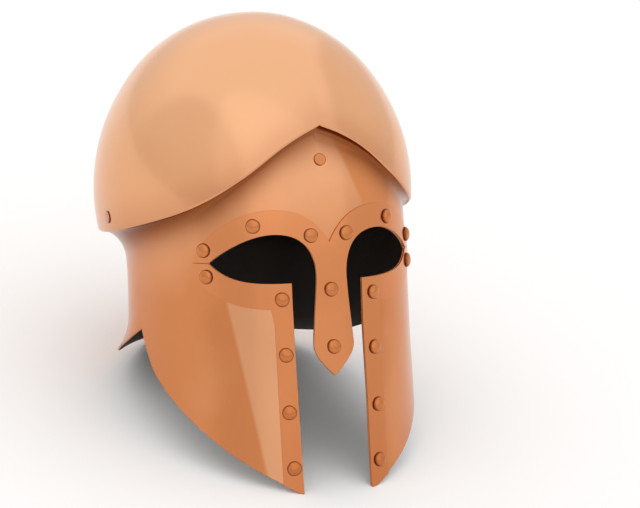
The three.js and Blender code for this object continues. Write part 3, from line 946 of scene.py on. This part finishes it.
def makeRivet(name, node, seat, out, domed, grip):
    # the profile turned round the way out of the sheet
    profile = rivetProfile(domed, grip)
    turn = np.linspace(0, 2 * math.pi, rivet["sides"] + 1)
    across = unit(np.cross(out, (0, 0, 1)))
    upward = np.cross(across, out)
    ring = np.cos(turn)[:, None] * across + np.sin(turn)[:, None] * upward
    radius, height = profile.T
    points = seat + radius[:, None, None] * ring[None] + height[:, None, None] * out
    step = np.gradient(profile, axis=0)
    lie = unit(np.stack([step[:, 1], -step[:, 0]], -1))
    lie[0] = (0, -1)
    lie[-1] = (0, 1)
    normals = lie[:, 0, None, None] * ring[None] + lie[:, 1, None, None] * out
    share = np.broadcast_to((radius / radius.max())[:, None], points.shape[:2])
    flat = points.reshape(-1, 3)
    first, quads, triangles = weld(flat, gridFaces(*points.shape[:2]))
    quads, triangles = quads[:, ::-1], triangles[:, ::-1]
    bumped, tipped = uneven(flat[first], normals.reshape(-1, 3)[first], rivetWaves)
    shape = {"points": bumped, "normals": tipped, "outside": [quads, triangles]}
    # each point's share of the widest radius, for the painted shade where the head meets the sheet
    shape["headShadeRadius"] = share.reshape(-1)[first]
    addPiece(name, shape, [rivetCopper], "root", [node])


def seatOnWall(azimuth, height, off):
    place = np.array([azimuth]), np.array([height], float)
    point, out = uneven(wallSurface(*place), wallNormal(*place), sheetWaves)
    return (point + out * off)[0], out[0]


def seatOnSkull(azimuth, height):
    radius = skullRadius(azimuth, height, 0)
    point = atRadius(azimuth, radius, height)[None]
    point, out = uneven(point, skullNormal(point), sheetWaves)
    return point[0], out[0]


def makeRivets():
    r = rivet
    stack = plate["off"] + plate["thickness"]
    grip = stack + wall["thickness"]
    for side, word, sign in (("right", "Right", -1), ("left", "Left", 1)):
        for kind in ("brow", "cheek"):
            for n, (x, height) in enumerate(r[kind], 1):
                seat, out = seatOnWall(frontAzimuth(sign * x, height), height, stack)
                name = f"{kind}Rivet{word}{n}"
                makeRivet(name, f"{kind}_rivet_{side}_{n}", seat, out, True, grip)
        height = ridgeHeight(r["skullAzimuth"]) + r["skullAboveEdge"]
        seat, out = seatOnSkull(sign * r["skullAzimuth"], height)
        lapGrip = skull["thickness"] + wall["lapGap"] + wall["thickness"]
        makeRivet(f"skullRivet{word}", f"skull_rivet_{side}", seat, out, False, lapGrip)
    for n, height in enumerate(r["nose"], 1):
        seat, out = seatOnWall(0.0, height, stack)
        makeRivet(f"noseRivet{n}", f"nose_rivet_{n}", seat, out, True, grip)
    seat, out = seatOnWall(0.0, r["forehead"], 0)
    makeRivet("foreheadRivet", "forehead_rivet", seat, out, False, wall["thickness"])


makeRivets()
print("rivets made")


# Camera, floor and light.

# The camera stands at an azimuth and a height angle of the upright helmet, and leans with it.
cameraPlace = {
    "azimuth": -26,
    "elevation": 9.852,
    "aimRight": 45.77,  # what it aims at, along its own axes from a point 25 mm under the tips
    "aimUp": 160.74,
    "belowTips": 25,
    "distance": 2400,
    "lens": 193.05,
}


def makeCamera():
    c = cameraPlace
    a, e = math.radians(c["azimuth"]), math.radians(c["elevation"])
    right = np.array([math.cos(a), math.sin(a), 0])
    upward = np.array([-math.sin(a) * math.sin(e), math.cos(a) * math.sin(e), math.cos(e)])
    back = np.cross(right, upward)
    eye = right * c["aimRight"] + upward * c["aimUp"] + back * c["distance"]
    eye -= (0, 0, c["belowTips"])
    axes = leanBack(np.stack([right, upward, back]))
    data = bpy.data.cameras.new("camera")
    data.lens = c["lens"]
    data.clip_start = 0.1
    data.clip_end = 50
    camera = bpy.data.objects.new("camera", data)
    bpy.context.scene.collection.objects.link(camera)
    place = np.eye(4)
    place[:3, :3] = axes.T
    place[:3, 3] = onGround(eye)
    camera.matrix_world = Matrix(place.tolist())
    bpy.context.scene.camera = camera


floorLook = {"size": 12, "colour": (0.95, 0.95, 0.95), "roughness": 0.9}


def makeFloor():
    bpy.ops.mesh.primitive_plane_add(size=floorLook["size"])
    floor = bpy.context.object
    floor.name = "floor"
    material = bpy.data.materials.new("paleFloor")
    material.use_nodes = True
    shader = material.node_tree.nodes["Principled BSDF"]
    shader.inputs["Base Color"].default_value = (*floorLook["colour"], 1)
    shader.inputs["Roughness"].default_value = floorLook["roughness"]
    floor.data.materials.append(material)


# The studio: white overhead, dimmer and warmer low down, with one crisp upright edge at each side.
studio = {
    "above": (1.06, 1.06, 1.06),
    "low": (0.82, 0.78, 0.74),
    "side": (0.90, 0.87, 0.84),
    "lowFrom": -0.05,
    "lowTo": 0.45,
    "sideAt": 0.62,
    "sideFade": 0.03,
    "strength": 1.07,
    "panelPower": 3,
    "panelSize": 3,
    "panelPlace": (-1.2, -1.4, 2.0),
    "panelTurn": (43, 0, -40),
}


def makeLight():
    world = bpy.data.worlds.new("studio")
    bpy.context.scene.world = world
    world.use_nodes = True
    tree = world.node_tree
    where = tree.nodes.new("ShaderNodeTexCoord")
    parts = tree.nodes.new("ShaderNodeSeparateXYZ")
    tree.links.new(where.outputs["Generated"], parts.inputs[0])
    lift = between(tree, parts.outputs["Z"], studio["lowFrom"], studio["lowTo"])
    aside = maths(tree, "ABSOLUTE", parts.outputs["X"])
    edge = between(tree, aside, studio["sideAt"], studio["sideAt"] + studio["sideFade"])
    high = blend(tree, edge, studio["above"], studio["side"])
    colour = blend(tree, lift, studio["low"], high)
    background = tree.nodes["Background"]
    tree.links.new(colour, background.inputs["Color"])
    background.inputs["Strength"].default_value = studio["strength"]
    # one soft panel over the left shoulder of the camera
    data = bpy.data.lights.new("panel", "AREA")
    data.shape = "SQUARE"
    data.size = studio["panelSize"]
    data.energy = studio["panelPower"]
    panel = bpy.data.objects.new("panel", data)
    panel.location = studio["panelPlace"]
    panel.rotation_euler = [math.radians(turn) for turn in studio["panelTurn"]]
    bpy.context.scene.collection.objects.link(panel)


makeCamera()
makeFloor()
makeLight()
bpy.context.scene.view_settings.view_transform = "Standard"
print("camera, floor and light placed")
